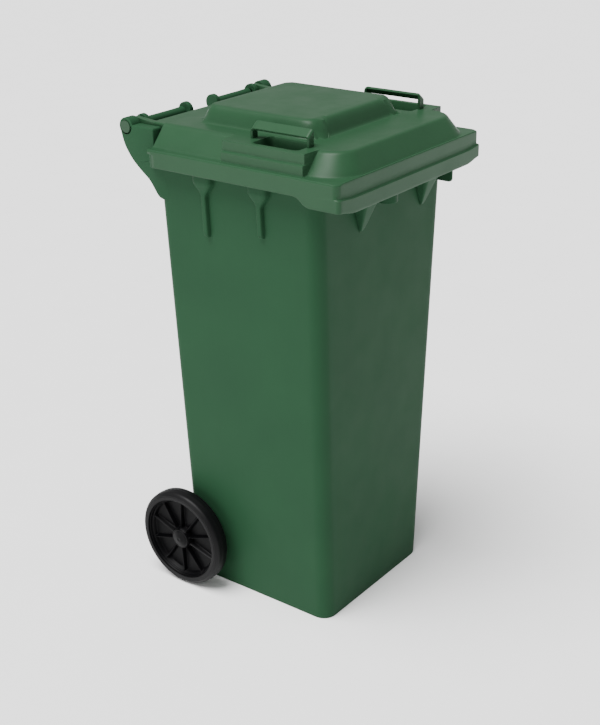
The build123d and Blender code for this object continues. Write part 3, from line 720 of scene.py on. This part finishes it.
def lid_shell():
    """Outer skin of the lid as one grid. A row is a U in plan: up the left side from the shoulder,
    round the front and back along the right. Rows climb the skirt, the ledge and the dome, then
    shrink to the middle line, where the two sides meet. Beside the grips the dome's slope gives
    way to a stepped block, mixed in by where y lies between the block's ends."""
    block_lower, block_upper = LID_HALF - 9, LID_HALF - 14
    plain = round_corners([
        (LID_HALF, 0), (LID_HALF, 8), (DOME_FOOT_HALF, 8), (DOME_TOP_HALF, SHOULDER_RISE + 8),
        (DOME_TOP_HALF - 14, SHOULDER_RISE + 8)], [0, 4, 3.5, 7, 0], 7, 6.0)
    blocky = round_corners([
        (LID_HALF, 0), (LID_HALF, 8), (block_lower, 8), (block_lower, 26.5), (block_upper, 26.5),
        (block_upper, SHOULDER_RISE + 8), (block_upper - 3, SHOULDER_RISE + 8)],
        [0, 4, 1.5, 3.0, 1.5, 3.5, 0], 7, 6.0)
    count = 44

    def resample(path):
        """The path's points at equal shares of its length."""
        along = np.concatenate([[0], np.cumsum(np.linalg.norm(np.diff(path, axis=0), axis=1))])
        share = np.linspace(0, along[-1], count)
        return np.column_stack([np.interp(share, along, path[:, i]) for i in range(2)])

    base = LEDGE - 8
    plain, blocky = resample(plain), resample(blocky)
    # half widths of the rows on top, beside the grips and elsewhere; the fine ones are at the
    # finger hollow's outer wall
    top_grip = np.concatenate([
        [204, 202.5, 201.2], np.arange(200.2, 194, -1), [193, 190], np.arange(182, 157, -8), [151]])
    top_plain = np.linspace(DOME_TOP_HALF - 15, 151, len(top_grip))
    inner = spread(150, 0, 7.0, (HOLLOW_INNER, 128, 84), 9.0, 1.3)
    fine_y = HINGE_Y - 113, GRIP_REAR, HOLLOW_REAR, HOLLOW_FRONT, GRIP_FRONT
    side_y = spread(SHOULDER_Y, FRONT + 54, 8.0, fine_y, 6.0, 1.1)
    front_x = spread(-211, 211, 7.0, (-128, 128), 5.0, 1.3)
    turn = np.linspace(0, math.pi / 2, 18)[1:-1]
    grip_share = smooth_step(GRIP_REAR + 1.5, GRIP_REAR - 1.5, side_y)
    grip_share = grip_share * smooth_step(GRIP_FRONT - 1.5, GRIP_FRONT + 1.5, side_y)
    rows = []

    def row(half_side, height_side, front, corner, half_plain, height_plain, rear_y):
        """One U. The side's half width and height vary with y; the corner and the front use the
        plain ones."""
        end_y = front + corner
        ys = np.maximum(np.minimum(side_y, rear_y), end_y)
        left = np.column_stack([-half_side, ys, height_side])
        wide = half_plain - corner
        level = np.full(len(turn), height_plain)
        arc = np.column_stack([-wide - corner * np.cos(turn), end_y - corner * np.sin(turn), level])
        xs = np.clip(front_x, -wide, wide)
        mid = np.column_stack([xs, np.full(len(xs), front), np.full(len(xs), height_plain)])
        arc_back = arc[::-1] * [-1, 1, 1]
        return np.vstack([left, arc, mid, arc_back, left[::-1] * [-1, 1, 1]])

    # skirt rows: how far out they are drawn, and their share of the way from the foot to the base
    levels = [(-1.6, 0.0), (-0.5, 0.006), (0.0, 0.035)]
    levels += [(0.0, level) for level in (0.1, 0.2, 0.4, 0.50, 0.53, 0.55, 0.57, 0.60, 0.8, 0.97)]
    for draw, level in levels:
        proud = smooth_step(0.585, 0.535, level)
        line = row(LID_HALF + draw + 0 * side_y, 0 * side_y, SKIRT_FRONT - draw - FASCIA_PROUD * proud,
                   LID_CORNER - FASCIA_PROUD * proud, LID_HALF + draw, 0.0, SHOULDER_Y - 9)
        foot = SKIRT_FOOT + SKIRT_CORNER_RISE * smooth_step(176, 219, np.abs(line[:, 0]))
        side_rise = SIDE_SKIRT_FOOT - SKIRT_FOOT - SKIRT_CORNER_RISE
        foot = foot + side_rise * smooth_step(FRONT + 62, FRONT + 92, line[:, 1])
        line[:, 2] = foot + (base - foot) * level
        rows.append(line)
    dome_slope = DOME_FOOT_HALF - DOME_TOP_HALF
    for (half, rise), (grip_half, grip_rise) in zip(plain, blocky):
        half_side = half + (grip_half - half) * grip_share
        z_side = base + rise + (grip_rise - rise) * grip_share
        share = np.clip((LID_HALF - half) / (LID_HALF - DOME_FOOT_HALF), 0, 1)
        slope = np.clip((DOME_FOOT_HALF - half) / dome_slope, 0, None)
        front = SKIRT_FRONT + (DOME_FOOT_FRONT - SKIRT_FRONT) * share
        front += (DOME_TOP_FRONT - DOME_FOOT_FRONT) * min(slope, 1) + max(slope - 1, 0) * dome_slope
        corner = LID_CORNER + (DOME_SIDE_END - front - LID_CORNER) * share
        rows.append(row(half_side, z_side, front, corner, half, base + rise, SHOULDER_Y))
    last_front = front
    for half, grip_half in zip(top_plain, top_grip):
        half_side = half + (grip_half - half) * grip_share
        front = last_front + plain[-1][0] - half
        line = row(half_side, 0 * side_y, front, max(DOME_SIDE_END - front, 5.0), half, 0.0, SHOULDER_Y)
        line[:, 2] = lid_top(line[:, 0], line[:, 1])
        rows.append(line)
    for half in inner:
        front = last_front + plain[-1][0] - half
        radius = min(max(DOME_SIDE_END - front, 5.0), half * 0.9)
        line = row(half + 0 * side_y, 0 * side_y, front, radius, half, 0.0, SHOULDER_Y)
        line[:, 2] = lid_top(line[:, 0], line[:, 1])
        rows.append(line)
    grid = np.array(rows)
    # the shoulder's wall: columns beyond each end go down behind the dome, to the ledge
    foot = LEDGE - 3.4
    walls = []
    for share in (0.04, 0.1, 0.2, 0.6, 1.0):
        column = grid[:, 0].copy()
        drop = np.maximum(column[:, 2] - foot, 0) * share
        column[:, 2] -= drop
        walls.append(column)
    left = np.stack(walls[::-1], 1)
    right = left[:, ::-1] * [-1, 1, 1]
    return np.concatenate([left, grid, right], 1), False, False, ()


def tongue():
    """Flap behind the shoulder, closed: rounded rectangles from the middle of its top, down its
    edge and back under it."""
    front, rear = SHOULDER_Y - 3, TONGUE_REAR
    top, foot = DOME - 1.0, DOME - 20.0
    mid = (front + rear) / 2
    stations = [
        ([150, mid - 0.5, mid + 0.5, 0.4, 0.4, top], 0),
        ([TONGUE_HALF, front, rear, 6, 6, top], 4.0),
        ([TONGUE_HALF, front, rear, 6, 6, foot], 1.2),
        ([TONGUE_HALF - WALL, front + WALL, rear - WALL, 3, 3, foot], 1.2),
        ([TONGUE_HALF - WALL, front + WALL, rear - WALL, 3, 3, top - WALL], 2.0),
        ([150, mid - 0.5, mid + 0.5, 0.4, 0.4, top - WALL], 0),
    ]
    path = round_corners([s for s, _ in stations], [r for _, r in stations], 6, 9.0)
    half, front, rear, near, far, z = path.T
    x, y = plan_ring(half, front, rear, near, far, 10, 60, 8)
    return np.stack([x, y, z[:, None] + 0 * x], -1), False, True, ("first", "last")


def ear(side):
    """Hinge ear of the lid: arm and eye in one outline, carried along X. The pin runs through it."""
    turn = np.linspace(-math.pi * 0.52, math.pi * 0.45, 22)
    eye = np.column_stack([HINGE_Y + 13 * np.cos(turn), HINGE_Z + 13 * np.sin(turn)])
    arm = np.array([(TONGUE_REAR - 5, DOME - 2.0), (TONGUE_REAR - 5, DOME - 19)])
    outline = np.vstack([eye, arm])
    return mirrored(plate(outline, 163, 175, 1.4), side)


def strap(side):
    """Strap over the finger hollow: a rounded flat section, tilted outwards, carried along a path
    that leaves the dome, turns over and comes down again. A point is centre + u (cos, 0, -sin) of
    the tilt + v (nz sin, ny, nz cos), with (ny, nz) the path's normal."""
    front, rear, tilt = STRAP_FRONT + 2.8, STRAP_REAR - 4.0, math.radians(STRAP_TILT)
    foot, top = DOME - 6, PLATEAU_TOP - 8
    centre = round_corners(
        [(front, foot), (front, top), (rear, top), (rear, foot)], [0, 3, 8, 0], 9, 8.0)
    along = np.gradient(centre, axis=0)
    along /= np.linalg.norm(along, axis=1)[:, None]
    ny, nz = -along[:, 1:], along[:, :1]
    section = closed_outline([(-9, -2.5), (9, -2.5), (9, 2.5), (-9, 2.5)], 1.5, 4, 6)
    u, v = section.T
    x = STRAP_X + u * math.cos(tilt) + v * nz * math.sin(tilt)
    y = centre[:, :1] + v * ny
    z = centre[:, 1:] - u * math.sin(tilt) + v * nz * math.cos(tilt)
    return mirrored((np.stack([x, y, z], -1), False, True, ("first", "last")), side)


# Wheels

def tyre_profile():
    """Section of the solid tyre: round shoulders, a raised crown line and a groove on each side."""
    radius, half = WHEEL_RADIUS, (TYRE_HIGH[0] - TYRE_LOW[0]) / 2
    right = [
        (half, radius - 16), (half, radius - 9.5), (half - 0.9, radius - 8.6),
        (half - 0.2, radius - 7.4), (half - 5.0, radius - 1.2), (2.0, radius - 0.2), (0.6, radius)]
    left = [(-place, out) for place, out in right]
    sizes = [1.2, 0.6, 0.6, 0.8, 6.5, 0.8, 0.3]
    return closed_outline(left + right[::-1], sizes + sizes[::-1], 6, 3.0)


def rim_faces():
    """Both faces of the rim over radius and angle: the highest of the web, ten ribs, the hub, the
    band and its lip, blended with soft corners."""
    radius = np.concatenate([
        np.linspace(RIM_BORE, 24, 12), np.linspace(25, 74, 38), np.linspace(74.6, RIM_RADIUS, 18)])
    angle = np.linspace(0, 2 * math.pi, 720, endpoint=False)
    r, a = np.meshgrid(radius, angle, indexing="ij")
    pitch = 2 * math.pi / RIB_COUNT
    from_rib = a % pitch - pitch / 2
    distance = np.abs(r * np.sin(from_rib))
    crest = 12.0 - 3.0 * (r - 20) / 59

    def face(top_of_rib):
        """Height of one face above the rim's middle. Ribs, hub, band and lip are straight ramps of
        distance or radius, each held at its own height."""
        rib = (2.5 - distance) * 3.2 + 5.0
        rib = soft_min(rib, top_of_rib, 1.6)
        centre = soft_min((HUB_RADIUS + 0.6 - r) * 4.0 + 6.0, HUB_RISE, 2.2)
        band = soft_min((r - 79.2) * 3.5 + 6.0, 15.0, 2.0)
        lip = soft_min((r - 76.0) * 2.0 + 3.0, 9.0, 1.6)
        level = soft_max(soft_max(2.0, rib, 2.4), soft_max(lip, band, 1.2), 1.8)
        level = soft_max(level, centre, 2.0)
        return soft_min(level, (RIM_RADIUS - r) * 2.5 + 13.6, 1.0)

    return face(crest), -face(crest + 1.5), r * np.cos(a), r * np.sin(a)


def rim_grid(side):
    """Closed rim: the outer face from bore to band, then the inner face back to the bore."""
    outside, inside, y, z = rim_faces()
    front = np.stack([side * (WHEEL_MID + outside), AXLE_Y + y, AXLE_Z + z], -1)
    back = np.stack([side * (WHEEL_MID + inside), AXLE_Y + y, AXLE_Z + z], -1)
    return np.concatenate([front, back[::-1]]), True, True, ()


def cap_grid(side):
    """Domed hub cap: height against radius, with a step, a groove and a shallow dimple."""
    base = WHEEL_MID + 14.0
    profile = [
        (base - 3, 10.9), (base - 3, 12.8), (base, 12.8), (base, 20), (base + 1.4, 20.0), (base + 2.0, 19.6),
        (base + 2.2, 18.6), (base + 1.9, 17.9), (base + 2.3, 17.2), (base + 3.6, 14.0), (base + 4.6, 10.0),
        (base + 5.5, 6.5), (base + 5.9, 4.0), (base + 5.6, 2.2), (base + 5.4, 0.05), (base + 0.6, 0.05),
        (base + 0.6, 10.9)]
    return turned(closed_outline(profile, 0.35, 3, 3.0), (0, AXLE_Y, AXLE_Z), 96, side)


def coil_grid(side):
    """Lock spring: a round wire whose centre climbs a helix, at radius times (cos, sin) of the turn
    and at a height in proportion to it."""
    low, high = limits("right_lock_spring")
    wire = 0.45
    radius = (high[0] - low[0]) / 2 - wire
    turn = np.linspace(0, 10 * math.pi, 181)[:, None]
    round_wire = np.linspace(0, 2 * math.pi, 10, endpoint=False)[None, :]
    out = radius + wire * np.cos(round_wire)
    climb = low[2] + wire + (high[2] - low[2] - 2 * wire) * turn / turn[-1]
    x = side * (low[0] + high[0]) / 2 + out * np.cos(turn)
    y = (low[1] + high[1]) / 2 + out * np.sin(turn)
    return np.stack([x, y, climb + wire * np.sin(round_wire)], -1), False, True, ("first", "last")


# Pieces

shell = make_piece(
    "container_shell", [container_shell()], "container", green_hdpe, ("container",))
cut_bays(shell, BAY_EDGES)


def container_piece(name, grid, angle=SHARP_ANGLE):
    """A detail that is moulded in one with the container."""
    make_piece(name, [grid], "container", green_hdpe, angle=angle)


for side, hand in ((1.0, "right"), (-1.0, "left")):
    for number, (place, drop) in enumerate(SIDE_RIBS, 1):
        container_piece(f"{hand}_side_rib_{number}", mirrored(side_rib(place, drop), side))
    container_piece(f"{hand}_wing", wing_grid(side), 34)
    container_piece(f"{hand}_hinge_boss", boss_grid(side))
    container_piece(f"{hand}_handle_bar", handle_grid(side))
    for label, x_from in (("inner", BRACKET_INNER), ("outer", BRACKET_OUTER)):
        container_piece(f"{hand}_{label}_bracket", bracket_arm(x_from, side))
        container_piece(f"{hand}_{label}_bracket_eye", bracket_eye(x_from, side))
    container_piece(f"{hand}_axle_boss", cheek_boss(side))
    make_piece(f"{hand}_lid_ear", [ear(side)], "lid", lid_hdpe)
    make_piece(f"{hand}_grip_strap", [strap(side)], "lid", lid_hdpe)
    wheel = f"{hand}_wheel"
    tyre = turned(tyre_profile(), (side * WHEEL_MID, AXLE_Y, AXLE_Z), 144)
    make_piece(f"{hand}_rubber_tyre", [tyre], wheel, tyre_rubber, (f"{hand}_tyre",))
    make_piece(
        f"{hand}_spoked_rim", [rim_grid(side)], wheel, rim_plastic, (f"{hand}_wheel_rim",))
    spring = make_piece(
        f"{hand}_coil_spring", [coil_grid(side)], wheel, spring_steel, (f"{hand}_lock_spring",))
    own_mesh(spring)
    make_piece(f"{hand}_domed_cap", [cap_grid(side)], wheel, cap_plastic, (f"{hand}_hub_cap",))

for number, place in enumerate(GUSSET_PLACES, 1):
    container_piece(f"front_gusset_{number}", front_gusset(place))
container_piece("corner_web", corner_web())
container_piece("chip_nest", chip_nest())
make_piece("lid_shell", [lid_shell()], "lid", lid_hdpe, ("lid",), thickness=WALL)
make_piece("lid_tongue", [tongue()], "lid", lid_hdpe)

# CAD nodes that are shown as they are, without their side's name
shown = {
    "axle": axle_steel, "chip_nest_plug": plug_plastic, "rim_buffers": buffer_rubber,
    "lid_pin": pin_plastic, "lock_pin": axle_steel,
    "spacer_washer": bush_nylon, "wheel_bush": bush_nylon,
}
for name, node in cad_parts.items():
    kind = name.replace("left_", "").replace("right_", "")
    if kind in shown:
        node.data.materials.clear()
        node.data.materials.append(shown[kind])


# Floor, light and camera

def floor():
    """Plain pale floor, a flat sheet that reaches far past the view."""
    material = bpy.data.materials.new("matt_white_paper")
    material.use_nodes = True
    tree = material.node_tree
    shader = tree.nodes["Principled BSDF"]
    place = add(tree, "TexCoord").outputs["Object"]
    fibre = add(tree, "TexNoise", {"Vector": place, "Scale": 6.0, "Detail": 4.0})
    tone = add(
        tree, "MixRGB",
        {"Fac": fibre.outputs["Fac"], "Color1": colour("#f6f6f6"), "Color2": colour("#fbfbfb")},
    )
    tree.links.new(tone.outputs[0], shader.inputs["Base Color"])
    shader.inputs["Roughness"].default_value = 0.9
    shader.inputs["Specular IOR Level"].default_value = 0.1
    mesh = bpy.data.meshes.new("floor")
    reach = 60.0
    corners = [(-reach, -reach, 0), (reach, -reach, 0), (reach, reach, 0), (-reach, reach, 0)]
    mesh.from_pydata(corners, [], [(0, 1, 2, 3)])
    mesh.materials.append(material)
    ground = bpy.data.objects.new("floor", mesh)
    bpy.context.scene.collection.objects.link(ground)


def soft_box(name, place, aim, size, power):
    """Rectangular studio light at place, pointed at aim."""
    data = bpy.data.lights.new(name, "AREA")
    data.shape = "RECTANGLE"
    data.size, data.size_y = size
    data.energy = power
    light = bpy.data.objects.new(name, data)
    direction = Vector(aim) - Vector(place)
    light.location = place
    light.rotation_euler = direction.to_track_quat("-Z", "Y").to_euler()
    bpy.context.scene.collection.objects.link(light)


def overhead(name, towards, strength):
    """Wide, even overhead light, which shines from the direction towards."""
    data = bpy.data.lights.new(name, "SUN")
    data.energy = strength
    data.angle = math.radians(40)
    light = bpy.data.objects.new(name, data)
    light.rotation_euler = Vector(towards).to_track_quat("Z", "Y").to_euler()
    bpy.context.scene.collection.objects.link(light)


def camera():
    """Camera at the viewing angle: azimuth, elevation and roll about the aim point."""
    azimuth, elevation, roll = math.radians(-52.47), math.radians(23.72), math.radians(-0.95)
    distance, aim = 2.5309, np.array([-0.0022, 0.0029, 0.4404])
    level = np.array([math.sin(azimuth), -math.cos(azimuth), 0.0])
    back = level * math.cos(elevation) + np.array([0.0, 0.0, math.sin(elevation)])
    across = np.array([math.cos(azimuth), math.sin(azimuth), 0.0])
    upward = np.cross(back, across)
    right = across * math.cos(roll) + upward * math.sin(roll)
    up = upward * math.cos(roll) - across * math.sin(roll)
    data = bpy.data.cameras.new("camera")
    data.sensor_width = 36.0
    data.lens = 64.63
    view = bpy.data.objects.new("camera", data)
    matrix = Matrix.Identity(4)
    for column, axis in enumerate((right, up, back, aim + back * distance)):
        for line in range(3):
            matrix[line][column] = axis[line]
    view.matrix_world = matrix
    bpy.context.scene.collection.objects.link(view)
    bpy.context.scene.camera = view


floor()
overhead("key", (-0.34, 0.10, 1.0), 6.4)
soft_box("fill", (-3.3, 1.0, 0.9), (0, 0, 0.4), (2.0, 1.6), 34)
world = bpy.data.worlds.new("studio")
bpy.context.scene.world = world
world.use_nodes = True
world.node_tree.nodes["Background"].inputs["Color"].default_value = (1.0, 1.0, 1.0, 1.0)
world.node_tree.nodes["Background"].inputs["Strength"].default_value = 0.45
camera()
